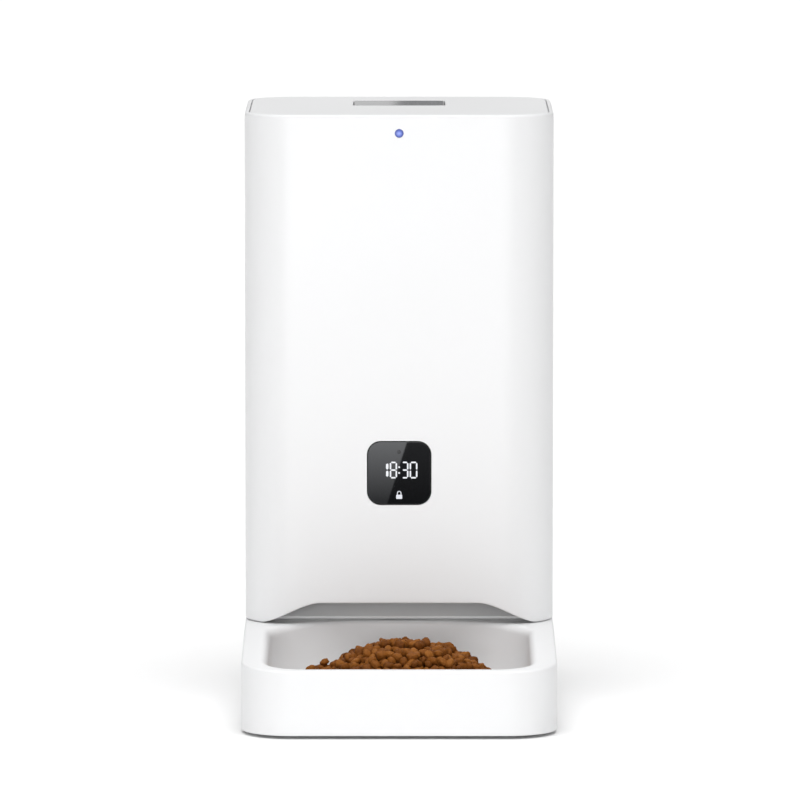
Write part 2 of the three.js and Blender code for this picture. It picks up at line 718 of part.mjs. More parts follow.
const base = group();
piece(base, "rear_base", rearBase(), WHITE);
piece(base, "base_plate", basePlate(), WHITE);
SCREW_SPOTS.forEach(([x, y], i) =>
  piece(base, `base_screw_${i + 1}`, screw(16, 1.5), STEEL, [x, y, BASE_Z + 0.2]),
);
FOOT_SPOTS.forEach(([x, y], i) => piece(base, `foot_${i + 1}`, foot(), RUBBER, [x, y, 0]));
[-1, 0, 1].forEach((i) =>
  piece(base, `battery_${i + 2}`, batteryCell(), CELL, [i * CELL_PITCH, CELL_Y, CELL_Z]),
);
piece(base, "battery_contact_front", contactStrip(3), STEEL, [0, 55, CELL_Z]);
piece(base, "battery_contact_rear", contactStrip(-2.4), STEEL, [0, 123.6, CELL_Z]);
piece(base, "battery_door", batteryDoor(), WHITE, [0, (DOOR_Y[0] + DOOR_Y[1]) / 2, BASE_Z]);
piece(base, "dc_inlet", powerInlet(), BLACK, [INLET_X, BACK_Y - SKIRT - 0.3, INLET_Z]);

// ---------------------------------------------------------------- bowl tray
const RIM_SLOPE = (SEAM_Z - RIM_Z) / (FRONT_Y + BACK_Y); // the rim rises from the front to the housing
const rimHeight = (y) => Math.min(SEAM_Z, RIM_Z + (y + BACK_Y) * RIM_SLOPE);

// Everything above the rim's slope, less a depth.
function aboveRim(depth) {
  const y0 = -DEPTH / 2 - 10;
  return sideways(
    polygon([
      [y0, RIM_Z - 10 * RIM_SLOPE - depth],
      [FRONT_Y, SEAM_Z - depth],
      [y0, SEAM_Z - depth + 8],
    ]),
    -WIDTH,
    WIDTH,
  );
}

// The bowl's outline in plan, moved in by the inset. Its back bulges under the arch.
function bowlOutline(inset) {
  const half = BOWL_HALF - inset;
  const front = BOWL_FRONT_Y + inset;
  const back = BOWL_BACK_Y - inset;
  const corner = BOWL_CORNER - inset / 2;
  const shape = new THREE.Shape();
  shape.absarc(half - corner, front + corner, corner, -Math.PI / 2, 0);
  shape.lineTo(half, BOWL_SIDE_Y);
  shape.bezierCurveTo(half, BOWL_SIDE_Y + BOWL_BEND, BOWL_BACK_HALF, back, 0, back);
  shape.bezierCurveTo(-BOWL_BACK_HALF, back, -half, BOWL_SIDE_Y + BOWL_BEND, -half, BOWL_SIDE_Y);
  shape.absarc(corner - half, front + corner, corner, Math.PI, Math.PI * 1.5);
  shape.closePath();
  return shape;
}

// The bowl as a form: each ring is a part of the way up from the floor to the rim.
function bowlForm(grow, floor) {
  const wall = [[0, 24], [0.08, 16], [0.28, 10], [0.6, 5], [0.85, 2], [1, 0]];
  const rings = wall.map(([up, inset]) => {
    const points = bowlOutline(inset - grow).getPoints(5);
    points.pop();
    return points.map((p) => new THREE.Vector3(p.x, p.y, floor + up * (rimHeight(p.y) - floor)));
  });
  rings.push(rings.at(-1).map((p) => p.clone().setZ(p.z + 10)));
  return loft(rings);
}

function bowlTray() {
  const outer = cut(upright(baseOutline(0), BASE_Z, SEAM_Z, 7), behind(SPLIT_Y), aboveRim(0));
  const inside = cut(
    upright(baseOutline(SKIRT), BASE_Z - 1, SEAM_Z - SKIRT, 6),
    behind(SPLIT_Y - SKIRT),
    aboveRim(SKIRT),
    bowlForm(BOWL_WALL, BOWL_FLOOR_Z - BOWL_WALL),
  );
  const tongue = (side) =>
    box(
      [side * TONGUE_X - TONGUE_HALF, SPLIT_Y - 2, TONGUE_Z[0]],
      [side * TONGUE_X + TONGUE_HALF, SPLIT_Y + 18, TONGUE_Z[1]],
    );
  return join(
    cut(outer, inside, bowlForm(0, BOWL_FLOOR_Z)),
    tongue(-1),
    tongue(1),
  );
}

const TRAY_FEET = [[-62, -116], [62, -116]];
const tray = group();
piece(tray, "bowl_tray", bowlTray(), WHITE);
piece(
  tray,
  "tray_bottom",
  cut(
    upright(baseOutline(SKIRT + GAP), BASE_Z, BASE_Z + TRAY_PLATE_T),
    behind(SPLIT_Y - SKIRT - GAP),
    ...TRAY_FEET.map(footPocket),
  ),
  WHITE,
);
TRAY_FEET.forEach(([x, y], i) => piece(tray, `tray_foot_${i + 1}`, foot(), RUBBER, [x, y, 0]));

export default feeder;
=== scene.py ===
"""Automatic pet feeder: the visual model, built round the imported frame.

Shapes are worked out in millimetres; the stage, the lights and the camera are in metres.
"""
import json
import math
import random

import bmesh
import bpy
from mathutils import Matrix, Vector, noise


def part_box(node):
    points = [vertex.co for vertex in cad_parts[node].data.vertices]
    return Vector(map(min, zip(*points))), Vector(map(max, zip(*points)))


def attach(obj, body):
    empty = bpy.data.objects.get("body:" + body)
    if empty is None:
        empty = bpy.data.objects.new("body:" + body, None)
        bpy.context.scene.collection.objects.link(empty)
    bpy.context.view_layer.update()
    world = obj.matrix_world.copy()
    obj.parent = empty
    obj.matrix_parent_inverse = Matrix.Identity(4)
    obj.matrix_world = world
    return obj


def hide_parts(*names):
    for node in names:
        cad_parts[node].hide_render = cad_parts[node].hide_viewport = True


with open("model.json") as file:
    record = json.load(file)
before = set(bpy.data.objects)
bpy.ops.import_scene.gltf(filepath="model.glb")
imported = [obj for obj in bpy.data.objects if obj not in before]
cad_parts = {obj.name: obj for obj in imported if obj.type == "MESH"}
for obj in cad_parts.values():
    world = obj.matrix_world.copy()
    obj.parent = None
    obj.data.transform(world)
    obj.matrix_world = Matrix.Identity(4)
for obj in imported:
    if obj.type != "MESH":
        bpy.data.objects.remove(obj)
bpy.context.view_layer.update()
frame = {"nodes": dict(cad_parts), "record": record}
MM = 0.001


# ---------------------------------------------------------------- sizes, from the frame
def span(node):
    low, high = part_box(node)
    return [v / MM for v in low], [v / MM for v in high]


shell_low, shell_high = span("outer_shell")
tray_low, tray_high = span("bowl_tray")
base_low = span("rear_base")[0]
lens_low, lens_high = span("display_lens")
light_low, light_high = span("status_light")
lid_low = span("lid")[0]
button_low, button_high = span("lid_button")
bin_low, bin_high = span("hopper")

HALF = shell_high[0]
FRONT, BACK = shell_low[1], shell_high[1]
SHELL_BOTTOM, TOP = shell_low[2], shell_high[2]
TRAY_FRONT, BASE_Z, SEAM = tray_low[1], tray_low[2], tray_high[2]
SPLIT_GAP = 0.4
SPLIT = base_low[1] - SPLIT_GAP
CORNER = 30.0
WINDOW_R = 8.2
WALL = 2.6
SKIRT = 3.0
RIM_FRONT = 41.0
ARCH_TOP, ARCH_FLAT, ARCH_FOOT = 63.0, 50.0, 84.0
BIN_MIDDLE = 74.5
SPLIT_CORNER = 0.6
SHARP = 38.0
# Points along each side and corner of an outline.
RUN = {"front": 66, "side": 24, "back": 24, "corner": 14}


# ---------------------------------------------------------------- outlines and skins
def arc(cx, cy, radius, start, end, steps):
    turns = [math.radians(start + (end - start) * i / steps) for i in range(steps)]
    return [(cx + radius * math.cos(a), cy + radius * math.sin(a)) for a in turns]


def line(a, b, steps):
    return [(a[0] + (b[0] - a[0]) * i / steps, a[1] + (b[1] - a[1]) * i / steps) for i in range(steps)]


def outline(x0, x1, y0, y1, r_front, r_back=None):
    """A rounded rectangle, anticlockwise from the left of its front. All have the same count."""
    f, b = r_front, r_front if r_back is None else r_back
    c = RUN["corner"]
    return (
        line((x0 + f, y0), (x1 - f, y0), RUN["front"]) + arc(x1 - f, y0 + f, f, -90, 0, c)
        + line((x1, y0 + f), (x1, y1 - b), RUN["side"]) + arc(x1 - b, y1 - b, b, 0, 90, c)
        + line((x1 - b, y1), (x0 + b, y1), RUN["back"]) + arc(x0 + b, y1 - b, b, 90, 180, c)
        + line((x0, y1 - b), (x0, y0 + f), RUN["side"]) + arc(x0 + f, y0 + f, f, 180, 270, c)
    )


def centred(width, depth, radius, y=0.0):
    return outline(-width / 2, width / 2, y - depth / 2, y + depth / 2, radius)


def housing_outline(inset=0.0):
    return outline(-HALF + inset, HALF - inset, FRONT + inset, BACK - inset, CORNER - inset)


def tray_outline(inset=0.0, back_inset=None):
    back = inset if back_inset is None else back_inset
    r = CORNER - inset
    return outline(-HALF + inset, HALF - inset, TRAY_FRONT + inset, SPLIT - back, r, SPLIT_CORNER)


def base_outline(inset=0.0, front_inset=None):
    front = inset if front_inset is None else front_inset
    low = SPLIT + SPLIT_GAP + front
    return outline(-HALF + inset, HALF - inset, low, BACK - inset, SPLIT_CORNER, CORNER - inset)


def ring(points, z):
    return [(x, y, z(x, y) if callable(z) else z) for x, y in points]


def smooth(t):
    t = min(1.0, max(0.0, t))
    return t * t * (3 - 2 * t)


def make(name, bm, body, slot, replaces=(), sharp=SHARP):
    bmesh.ops.recalc_face_normals(bm, faces=bm.faces)
    mesh = bpy.data.meshes.new(name)
    bm.to_mesh(mesh)
    bm.free()
    mesh.transform(Matrix.Scale(MM, 4))
    mesh.polygons.foreach_set("use_smooth", [True] * len(mesh.polygons))
    mesh.set_sharp_from_angle(angle=math.radians(sharp))
    obj = bpy.data.objects.new(name, mesh)
    bpy.context.scene.collection.objects.link(obj)
    mesh.materials.append(finish(slot))
    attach(obj, body)
    if replaces:
        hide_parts(*replaces)
    return obj


def skin(bm, rings, loop=False):
    """Joins rings of equal count into a surface. It is capped at both ends, or closes on itself."""
    rows = [[bm.verts.new(p) for p in r] for r in rings]
    count = len(rows[0])
    pairs = list(zip(rows, rows[1:] + ([rows[0]] if loop else [])))
    for low, high in pairs:
        for i in range(count):
            j = (i + 1) % count
            bm.faces.new((low[i], low[j], high[j], high[i]))
    if not loop:
        bm.faces.new(rows[0])
        bm.faces.new(rows[-1])
    return bm


def skinned(rings, loop=False):
    return skin(bmesh.new(), rings, loop)


def carve(obj, cutter_bm, operation="DIFFERENCE"):
    """Cuts a shape out of a piece, or joins it on, and leaves no modifier behind."""
    bmesh.ops.recalc_face_normals(cutter_bm, faces=cutter_bm.faces)
    mesh = bpy.data.meshes.new("cutter")
    cutter_bm.to_mesh(mesh)
    cutter_bm.free()
    mesh.transform(Matrix.Scale(MM, 4))
    cutter = bpy.data.objects.new("cutter", mesh)
    bpy.context.scene.collection.objects.link(cutter)
    modifier = obj.modifiers.new("cut", "BOOLEAN")
    modifier.operation, modifier.object, modifier.solver = operation, cutter, "EXACT"
    bpy.context.view_layer.update()
    result = bpy.data.meshes.new_from_object(obj.evaluated_get(bpy.context.evaluated_depsgraph_get()))
    obj.modifiers.clear()
    result.name = obj.name
    old, obj.data = obj.data, result
    bpy.data.meshes.remove(old)
    bpy.data.objects.remove(cutter)
    bpy.data.meshes.remove(mesh)
    result.set_sharp_from_angle(angle=math.radians(SHARP))


def even_shading(obj):
    """Keeps large faces flat beside small fillets."""
    modifier = obj.modifiers.new("even_shading", "WEIGHTED_NORMAL")
    modifier.mode, modifier.weight, modifier.keep_sharp = "FACE_AREA", 80, True


def prism(points, low, high, axis="z"):
    """An outline pushed along Z, or along Y with the outline in X and Z."""
    place = (lambda p, h: (p[0], p[1], h)) if axis == "z" else (lambda p, h: (p[0], h, p[1]))
    return skinned([[place(p, low) for p in points], [place(p, high) for p in points]])


def circle(radius, cx=0.0, cy=0.0, steps=48):
    return arc(cx, cy, radius, 0, 360, steps)


def turned(profile, centre, axis="z", steps=48):
    """A lathe: profile is radius and height pairs, closed on its axis at both ends."""
    bm = bmesh.new()
    cx, cy, cz = centre

    def place(r, h, a):
        u, v = r * math.cos(a), r * math.sin(a)
        return (cx + u, cy + v, cz + h) if axis == "z" else (cx + u, cy + h, cz + v)

    angles = [2 * math.pi * i / steps for i in range(steps)]
    rings = [[place(r, h, a) for a in angles] for r, h in profile]
    return skin(bm, rings)


def fillet(radius, steps=5):
    """Inset and drop of the points round a convex edge, from the side up to the top."""
    angles = [math.pi / 2 * i / steps for i in range(steps + 1)]
    return [(radius * (1 - math.cos(a)), radius * (1 - math.sin(a))) for a in angles]


# ---------------------------------------------------------------- materials
def nodes_of(material):
    material.use_nodes = True
    tree = material.node_tree
    return tree.nodes, tree.links, tree.nodes["Principled BSDF"]


def surface(slot, color, rough, metal=0.0, grain=900.0, bump=0.02, drift=0.012, stretch=(1, 1, 1)):
    """A moulded or metal finish: fine grain in the bump, a slow drift in tone, and a varying gloss."""
    material = bpy.data.materials.new(slot)
    nodes, links, shader = nodes_of(material)
    shader.inputs["Metallic"].default_value = metal
    where = nodes.new("ShaderNodeTexCoord")
    scale = nodes.new("ShaderNodeMapping")
    scale.inputs["Scale"].default_value = stretch
    links.new(where.outputs["Object"], scale.inputs["Vector"])
    slow = nodes.new("ShaderNodeTexNoise")
    slow.inputs["Scale"].default_value = 9.0
    slow.inputs["Detail"].default_value = 3.0
    fine = nodes.new("ShaderNodeTexNoise")
    fine.inputs["Scale"].default_value = grain
    for texture in (slow, fine):
        links.new(scale.outputs["Vector"], texture.inputs["Vector"])
    tone = nodes.new("ShaderNodeMix")
    tone.data_type = "RGBA"
    tone.inputs["A"].default_value = (*[max(0.0, c - drift) for c in color], 1)
    tone.inputs["B"].default_value = (*[min(1.0, c + drift) for c in color], 1)
    links.new(slow.outputs["Fac"], tone.inputs["Factor"])
    links.new(tone.outputs["Result"], shader.inputs["Base Color"])
    gloss = nodes.new("ShaderNodeMapRange")
    gloss.inputs["To Min"].default_value = rough * 0.85
    gloss.inputs["To Max"].default_value = rough * 1.15
    links.new(slow.outputs["Fac"], gloss.inputs["Value"])
    links.new(gloss.outputs["Result"], shader.inputs["Roughness"])
    relief = nodes.new("ShaderNodeBump")
    relief.inputs["Strength"].default_value = bump
    relief.inputs["Distance"].default_value = 0.0002
    links.new(fine.outputs["Fac"], relief.inputs["Height"])
    links.new(relief.outputs["Normal"], shader.inputs["Normal"])
    return material


def glowing(slot, color, strength, grain=400.0):
    material = surface(slot, color, 0.25, grain=grain)
    shader = material.node_tree.nodes["Principled BSDF"]
    shader.inputs["Emission Color"].default_value = (*color, 1)
    shader.inputs["Emission Strength"].default_value = strength
    return material


def status_glow():
    """A light pipe: pale in the middle and deep blue at its edge."""
    material = surface("blue_light", (0.05, 0.08, 0.30), 0.2)
    nodes, links, shader = nodes_of(material)
    where = nodes.new("ShaderNodeTexCoord")
    reach = nodes.new("ShaderNodeVectorMath")
    reach.operation = "DISTANCE"
    middle = [(a + b) / 2 * MM for a, b in zip(light_low, light_high)]
    reach.inputs[1].default_value = (middle[0], light_low[1] * MM, middle[2])
    links.new(where.outputs["Object"], reach.inputs[0])
    ramp = nodes.new("ShaderNodeMapRange")
    ramp.inputs["From Min"].default_value = 0.0003
    ramp.inputs["From Max"].default_value = 0.0023
    links.new(reach.outputs["Value"], ramp.inputs["Value"])
    tone = nodes.new("ShaderNodeMix")
    tone.data_type = "RGBA"
    tone.inputs["A"].default_value = (0.30, 0.39, 0.98, 1)
    tone.inputs["B"].default_value = (0.09, 0.11, 0.30, 1)
    links.new(ramp.outputs["Result"], tone.inputs["Factor"])
    links.new(tone.outputs["Result"], shader.inputs["Emission Color"])
    shader.inputs["Emission Strength"].default_value = 0.6
    return material


def kibble_finish():
    """Baked food: each pellet its own brown, mottled darker and lighter at random, with a little fat on the
    surface.
    """
    material = surface("kibble", (0.25, 0.085, 0.02), 0.6, grain=1500.0, bump=0.5)
    nodes, links, shader = nodes_of(material)
    shader.inputs["Specular IOR Level"].default_value = 0.12
    tint = nodes.new("ShaderNodeAttribute")
    tint.attribute_name = "tint"
    where = nodes.new("ShaderNodeTexCoord")
    crumb = nodes.new("ShaderNodeTexNoise")
    crumb.inputs["Scale"].default_value = 700.0
    crumb.inputs["Detail"].default_value = 5.0
    links.new(where.outputs["Object"], crumb.inputs["Vector"])
    both = nodes.new("ShaderNodeMath")
    both.operation = "MULTIPLY_ADD"
    both.inputs[1].default_value = 0.55
    links.new(crumb.outputs["Fac"], both.inputs[0])
    links.new(tint.outputs["Fac"], both.inputs[2])
    ramp = nodes.new("ShaderNodeValToRGB")
    stops = ramp.color_ramp.elements
    stops[0].position, stops[0].color = 0.15, (0.088, 0.023, 0.002, 1)
    stops[1].position, stops[1].color = 0.95, (0.33, 0.122, 0.022, 1)
    stops.new(0.5).color = (0.205, 0.066, 0.008, 1)
    links.new(both.outputs["Value"], ramp.inputs["Fac"])
    links.new(ramp.outputs["Color"], shader.inputs["Base Color"])
    return material


MAKERS = {
    "white_shell": lambda: surface(
        "white_shell", (0.827, 0.830, 0.836), 0.36, drift=0.004, bump=0.03, grain=1400),
    "inner_plastic": lambda: surface("inner_plastic", (0.76, 0.77, 0.765), 0.5, bump=0.05),
    "smoked_window": lambda: surface("smoked_window", (0.004, 0.0042, 0.005), 0.012, drift=0.001, bump=0.0),
    "button_gloss": lambda: surface("button_gloss", (0.335, 0.340, 0.350), 0.09, bump=0.005, drift=0.01),
    "rubber_foot": lambda: surface("rubber_foot", (0.045, 0.046, 0.048), 0.8, bump=0.2, grain=1600),
    "silicone": lambda: surface("silicone", (0.58, 0.60, 0.61), 0.62, bump=0.04),
    "steel": lambda: surface("steel", (0.60, 0.61, 0.63), 0.3, metal=1.0, bump=0.08, stretch=(1, 1, 14)),
    "circuit_board": lambda: surface("circuit_board", (0.02, 0.16, 0.06), 0.42, bump=0.06, grain=500),
    "acetal": lambda: surface("acetal", (0.72, 0.74, 0.76), 0.42, bump=0.03),
    "cell_jacket": lambda: surface("cell_jacket", (0.10, 0.12, 0.15), 0.34, metal=0.5, stretch=(1, 9, 1)),
    "blue_light": status_glow,
    "black_plastic": lambda: surface("black_plastic", (0.022, 0.022, 0.024), 0.5, bump=0.1),
    "kibble": kibble_finish,
    "clock_glow": lambda: glowing("clock_glow", (0.42, 0.43, 0.45), 1.05),
    "icon_glow": lambda: glowing("icon_glow", (0.38, 0.39, 0.42), 1.0),
}
made = {}


def finish(name):
    if name not in made:
        made[name] = MAKERS[name]()
    return made[name]


def dress_cad_nodes():
    for part in frame["record"]["subparts"]:
        mesh = frame["nodes"][part["node"]].data
        mesh.materials.clear()
        mesh.materials.append(finish(part["material_slot"]))


# ---------------------------------------------------------------- housing
def arch_height(x, y):
    """Underside of the housing: level at the sides, and raised in an arch across the front."""
    if y > SPLIT or abs(x) >= ARCH_FOOT:
        return SHELL_BOTTOM
    u = max(0.0, min(1.0, (ARCH_FOOT - abs(x)) / (ARCH_FOOT - ARCH_FLAT))) ** 0.92
    return SHELL_BOTTOM + (ARCH_TOP - SHELL_BOTTOM) * (0.6 * smooth(u) + 0.4 * u)


def housing_shell():
    lip, edge = 0.8, 2.0
    rings = []
    for inset, drop in reversed(fillet(lip, 3)):
        rings.append(ring(housing_outline(inset), lambda x, y, d=drop: arch_height(x, y) + d))
    rings.append(ring(housing_outline(), lambda x, y: arch_height(x, y) + lip + 1.5))
    rings += [ring(housing_outline(), z) for z in (72, 76, 130, 200, 280, TOP - edge - 6, TOP - edge - 1)]
    rings += [ring(housing_outline(inset), TOP - drop) for inset, drop in fillet(edge, 7)]
    rings += [ring(housing_outline(WALL), z) for z in (TOP - 0.2, TOP - 4, 200, 76, 72)]
    rings.append(ring(housing_outline(WALL), lambda x, y: arch_height(x, y) + 2.2))
    rings.append(ring(housing_outline(WALL), lambda x, y: arch_height(x, y) + 0.3))
    shell = make("housing_shell", skinned(rings, loop=True), "housing", "white_shell", ["outer_shell"])
    clearance = 0.35
    half, lens_z = (lens_high[0] - lens_low[0]) / 2 + clearance, (lens_low[2] + lens_high[2]) / 2
    window = outline(-half, half, lens_z - half, lens_z + half, WINDOW_R + clearance)
    carve(shell, prism(window, FRONT - 1, FRONT + 5, "y"))
    hole = circle(2.75, 0, (light_low[2] + light_high[2]) / 2)
    carve(shell, prism(hole, FRONT - 1, FRONT + 5, "y"))
    even_shading(shell)


SEGMENTS = {"0": "abcdef", "1": "bc", "3": "abcdg", "8": "abcdefg"}
DIGIT_H, STROKE, SEGMENT_GAP = 10.4, 0.92, 0.25
# The symbols run from just inside the glass to a little in front of it.
SUNK, RAISED = 0.02, 0.07
# Each digit with its left and right edge and its stroke. The narrow 1 is bolder.
CLOCK = (
    ("1", -8.7, -6.6, 1.5), ("8", -5.8, -1.3, STROKE),
    ("3", 1.4, 5.7, STROKE), ("0", 6.4, 11.2, STROKE),
)
COLON_RISE, COLON_R = 1.8, 0.55
CLOCK_RISE, LOCK_DROP, SENSOR_RISE = 1.85, 13.4, 13
LOCK_HALF, LOCK_H, BOW_RISE, BOW_OUTER, BOW_INNER = 1.85, 2.6, 1.0, 1.35, 0.85


def display():
    """The smoked window with the clock, the padlock and the sensor that show in it."""
    half = (lens_high[0] - lens_low[0]) / 2
    z = (lens_low[2] + lens_high[2]) / 2
    rings = []
    for inset, drop in fillet(0.5, 4):
        points = outline(-half + inset, half - inset, z - half + inset, z + half - inset, WINDOW_R - inset)
        rings.append([(a, lens_low[1] + drop, b) for a, b in points])
    points = outline(-half, half, z - half, z + half, WINDOW_R)
    rings.insert(0, [(a, lens_high[1], b) for a, b in points])
    glass = make("display_glass", skinned(rings), "housing", "smoked_window", ["display_lens"])
    even_shading(glass)
    face = lens_low[1]
    clock_digits(face, z + CLOCK_RISE)
    padlock(face, z - LOCK_DROP)
    make("room_sensor", turned([(1.25, 0.02), (1.25, -0.03), (1.0, -0.05), (0.0001, -0.05)],
                               (-0.1, face, z + SENSOR_RISE), "y", 24), "housing", "black_plastic")




def bar(bm, a, b, width, face):
    """One segment: a bar with pointed ends, standing a little off the glass."""
    along = Vector((b[0] - a[0], b[1] - a[1])).normalized()
    side = Vector((-along.y, along.x)) * width / 2
    tip = along * width / 2
    a, b = Vector(a), Vector(b)
    points = [a, a + tip - side, b - tip - side, b, b - tip + side, a + tip + side]
    skin(bm, [[(p.x, face + h, p.y) for p in points] for h in (SUNK, -RAISED)])


def digit(bm, character, x0, x1, stroke, middle, face):
    left, right = x0 + stroke / 2, x1 - stroke / 2
    low, high = middle - DIGIT_H / 2 + stroke / 2, middle + DIGIT_H / 2 - stroke / 2
    ends = {
        "a": ((left, high), (right, high)), "b": ((right, middle), (right, high)),
        "c": ((right, low), (right, middle)), "d": ((left, low), (right, low)),
        "e": ((left, low), (left, middle)), "f": ((left, middle), (left, high)),
        "g": ((left, middle), (right, middle)),
    }
    for segment in SEGMENTS[character]:
        a, b = (Vector(p) for p in ends[segment])
        gap = (b - a).normalized() * SEGMENT_GAP
        bar(bm, a + gap, b - gap, stroke, face)


def clock_digits(face, middle):
    bm = bmesh.new()
    for character, x0, x1, stroke in CLOCK:
        digit(bm, character, x0, x1, stroke, middle, face)
    for z in (middle + COLON_RISE, middle - COLON_RISE):
        dot = [(px, z + pz) for px, pz in circle(COLON_R, steps=16)]
        skin(bm, [[(a, face + h, b) for a, b in dot] for h in (SUNK, -RAISED)])
    make("clock_digits", bm, "housing", "clock_glow")


def padlock(face, z):
    bm = bmesh.new()
    body = outline(-LOCK_HALF, LOCK_HALF, z - LOCK_H, z, 0.4)
    skin(bm, [[(a, face + h, b) for a, b in body] for h in (SUNK, -RAISED)])
    half_turn = [math.pi * i / 16 for i in range(17)]
    middle = z + BOW_RISE
    outer = [(BOW_OUTER * math.cos(a), middle + BOW_OUTER * math.sin(a)) for a in half_turn]
    inner = [(BOW_INNER * math.cos(a), middle + BOW_INNER * math.sin(a)) for a in half_turn]
    bow = [(BOW_OUTER, z)] + outer + [(-BOW_OUTER, z), (-BOW_INNER, z)] + inner[::-1] + [(BOW_INNER, z)]
    skin(bm, [[(a, face + h, b) for a, b in bow] for h in (SUNK, -RAISED)])
    make("lock_icon", bm, "housing", "icon_glow")


def status_light():
    z = (light_low[2] + light_high[2]) / 2
    radius, flange = 2.5, 3.5
    profile = [(0.0001, 6.4), (radius, 6.4), (radius, 4.4), (flange, 4.4), (flange, 2.9)]
    profile += [(radius, 2.9), (radius, 0.5)]
    profile += [(radius * math.cos(a), 0.5 - 0.5 * math.sin(a)) for a in (0.4, 0.8, 1.2)] + [(0.0001, 0.0)]
    make("light_pipe", turned(profile, (0, FRONT, z), "y"), "housing", "blue_light", ["status_light"])


def food_bin():
    """A straight bin, a funnel and a round neck in one thin moulding."""
    wall, wide, deep, corner = 2.2, 176, 143, 24
    rotor_y, neck = 75.0, 52.0
    top = bin_high[2]

    def level(inset, z):
        return ring(centred(wide - 2 * inset, deep - 2 * inset, corner - inset, BIN_MIDDLE), z)

    def round_neck(inset, z):
        return ring(centred(2 * (neck - inset), 2 * (neck - inset), neck - inset - 0.01, rotor_y), z)

    def between(a, b, t):
        return [tuple(p + (q - p) * t for p, q in zip(u, v)) for u, v in zip(a, b)]

    def side(inset):
        low, high = round_neck(inset, 124), level(inset, 170)
        funnel = [between(low, high, t) for t in (0.0, 0.04, 0.35, 0.7, 0.96, 1.0)]
        return [round_neck(inset, bin_low[2])] + funnel + [level(inset, 174)]

    flange = [ring(housing_outline(WALL + 0.4), z) for z in (top - 2, top)]
    outer = side(0) + [level(0, 240), level(0, top - 2)] + flange
    inner = [level(wall, top), level(wall, top - 1), level(wall, 240)] + side(wall)[::-1]
    piece = make("food_bin", skinned(outer + inner, loop=True), "housing", "inner_plastic", ["hopper"], 50)
    even_shading(piece)


# ---------------------------------------------------------------- lid
def button_size():
    """Width and depth of the button, and the middle of its depth."""
    wide, deep = button_high[0] - button_low[0], button_high[1] - button_low[1]
    return wide, deep, (button_low[1] + button_high[1]) / 2


def lid():
    """The inset lid, with a collar below it and a well for the button."""
    under, collar_end, well_floor = TOP - 5, 348.0, lid_low[2]
    inset, edge = WALL + 0.4, 1.3
    wide, deep, middle = button_size()
    well = lambda grow: centred(wide + grow, deep + grow, 3 + grow / 2, middle)
    collar = lambda grow: centred(164 + grow, 131 + grow, 18 + grow / 2, BIN_MIDDLE)
    rings = [ring(well(0.4), well_floor + 2), ring(well(1.2), well_floor + 2.4), ring(well(1.2), TOP - 1.6)]
    rings += [ring(well(1.2 + 2 * i), TOP - d) for i, d in fillet(0.6, 4)]
    rings += [ring(well(5), TOP), ring(housing_outline(inset + edge + 1.5), TOP)]
    rings += [ring(housing_outline(inset + i), TOP - d) for i, d in reversed(fillet(edge, 6))]
    rings += [ring(housing_outline(inset), z) for z in (TOP - 2.5, under)]
    rings += [ring(collar(0.02), under), ring(collar(0), under - 0.5), ring(collar(0), collar_end)]
    rings += [ring(collar(-4), collar_end), ring(collar(-4), under)]
    rings += [ring(well(6), under), ring(well(6), well_floor + 0.6), ring(well(5), well_floor)]
    even_shading(make("lid_shell", skinned(rings), "lid", "white_shell", ["lid"]))


def lid_button():
    top, bottom = button_high[2], button_low[2]
    wide, deep, middle = button_size()
    cap = lambda inset: centred(wide - 2 * inset, deep - 2 * inset, 3 - inset, middle)
    edge = 0.4
    rings = [ring(cap(2.5), TOP - 2), ring(cap(2.5), bottom + 0.3)]
    rings += [ring(cap(1.0), bottom), ring(cap(0), bottom + 0.5)]
    rings += [ring(cap(0), top - edge - 2)] + [ring(cap(i), top - d) for i, d in fillet(edge, 5)]
    rings.append(ring(cap(2.4), top))
    even_shading(make("button_cap", skinned(rings), "button", "button_gloss", ["lid_button"]))


# ---------------------------------------------------------------- bowl tray
def rim(x, y):
    """Height of the tray's rim, which rises from front to back. It is level across, so x has no effect."""
    return min(SEAM, RIM_FRONT + (y - TRAY_FRONT) * (SEAM - RIM_FRONT) / (FRONT - TRAY_FRONT))


BOWL_HALF, BOWL_FRONT, BOWL_BACK, BOWL_SIDE, BOWL_FLOOR = 79.0, -141.0, 8.0, -30.0, 12.0
BOWL_ROUND, BOWL_WALL = 26.0, 3.0
TONGUE_X = 60


def bezier(p0, p1, p2, p3, steps):
    out = []
    for i in range(steps):
        t = i / steps
        w = ((1 - t) ** 3, 3 * t * (1 - t) ** 2, 3 * t * t * (1 - t), t ** 3)
        out.append(tuple(sum(k * p[a] for k, p in zip(w, (p0, p1, p2, p3))) for a in (0, 1)))
    return out


def bowl_outline(inset=0.0):
    half, front, back = BOWL_HALF - inset, BOWL_FRONT + inset, BOWL_BACK - inset
    r = 24 - inset / 2
    c = RUN["corner"]
    bulge = c + RUN["back"] // 2
    reach = BOWL_SIDE + 16
    return (
        line((r - half, front), (half - r, front), RUN["front"])
        + arc(half - r, front + r, r, -90, 0, c)
        + line((half, front + r), (half, BOWL_SIDE), RUN["side"])
        + bezier((half, BOWL_SIDE), (half, reach), (45, back), (0, back), bulge)
        + bezier((0, back), (-45, back), (-half, reach), (-half, BOWL_SIDE), bulge)
        + line((-half, BOWL_SIDE), (-half, front + r), RUN["side"])
        + arc(r - half, front + r, r, 180, 270, c)
    )


def soften(x):
    """Radius of the bowl's lip: small in front, and larger along the sides."""
    return 3 + 2.5 * smooth((abs(x) - 50) / 26)


def grown(points, amount):
    """An outline moved out along its own normals by a different amount at each point."""
    out = []
    for i, (x, y) in enumerate(points):
        ax, ay = points[i - 1]
        bx, by = points[(i + 1) % len(points)]
        n = Vector((by - ay, ax - bx)).normalized()
        out.append((x + n.x * amount(x), y + n.y * amount(x)))
    return out


